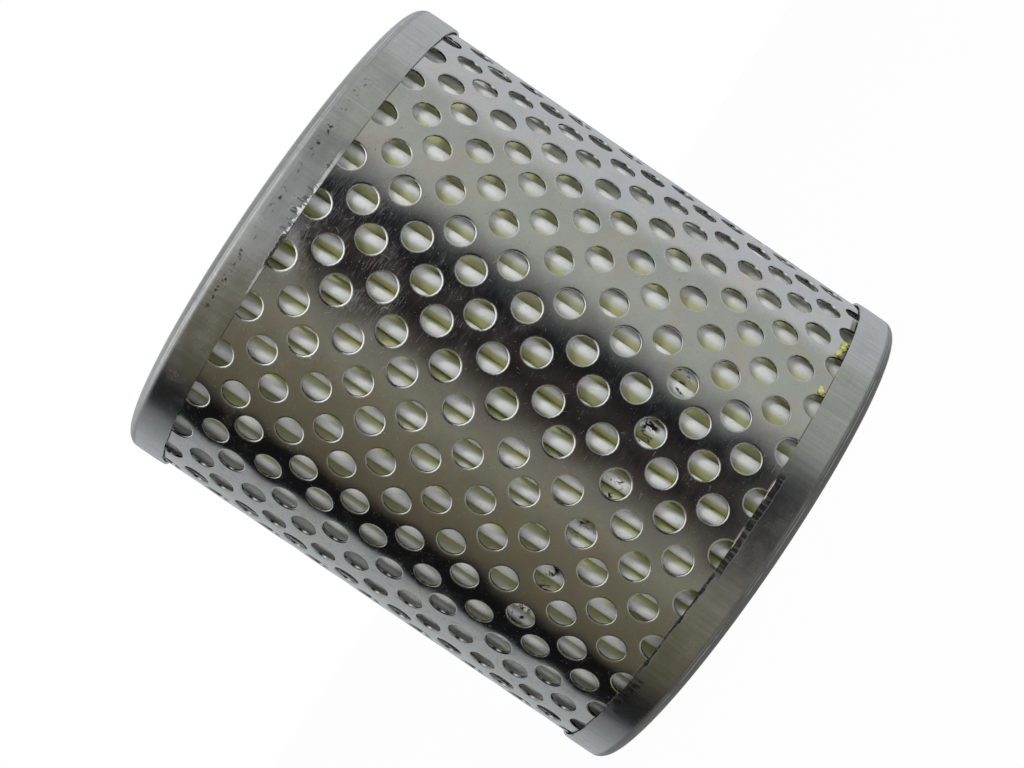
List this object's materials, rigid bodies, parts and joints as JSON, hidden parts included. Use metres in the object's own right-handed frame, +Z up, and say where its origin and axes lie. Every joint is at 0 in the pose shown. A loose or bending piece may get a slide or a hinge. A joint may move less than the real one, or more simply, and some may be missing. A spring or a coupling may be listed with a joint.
{
  "type": "hydraulic pump filter",
  "caption": "Cylindrical hydraulic filter element: pleated white paper behind a round-hole perforated steel guard, with pressed steel end caps and an open centre bore.",
  "frame": {"origin": "centre of the lower end cap's face, on the element's axis", "axes": "+Z up along the element's axis, from the lower to the upper end cap; the lap seam of the guard is on the +Y side"},
  "size_m": [0.09, 0.09, 0.0975],
  "materials": {
    "tinplate": "bright rolled tinplate with fine scratches",
    "cap_steel": "dull galvanised sheet with brush marks",
    "tube_steel": "dull perforated sheet",
    "filter_paper": "smooth off-white resin-treated filter paper",
    "adhesive": "cured yellow adhesive",
    "rubber": "moulded black rubber"
  },
  "bodies": {
    "root": {"outer_guard": "tinplate", "centre_tube": "tube_steel", "pleated_media": "filter_paper", "lower_end_cap": "cap_steel", "upper_end_cap": "cap_steel", "lower_potting": "adhesive", "upper_potting": "adhesive", "lower_seal": "rubber", "upper_seal": "rubber"}
  },
  "joints": []
}
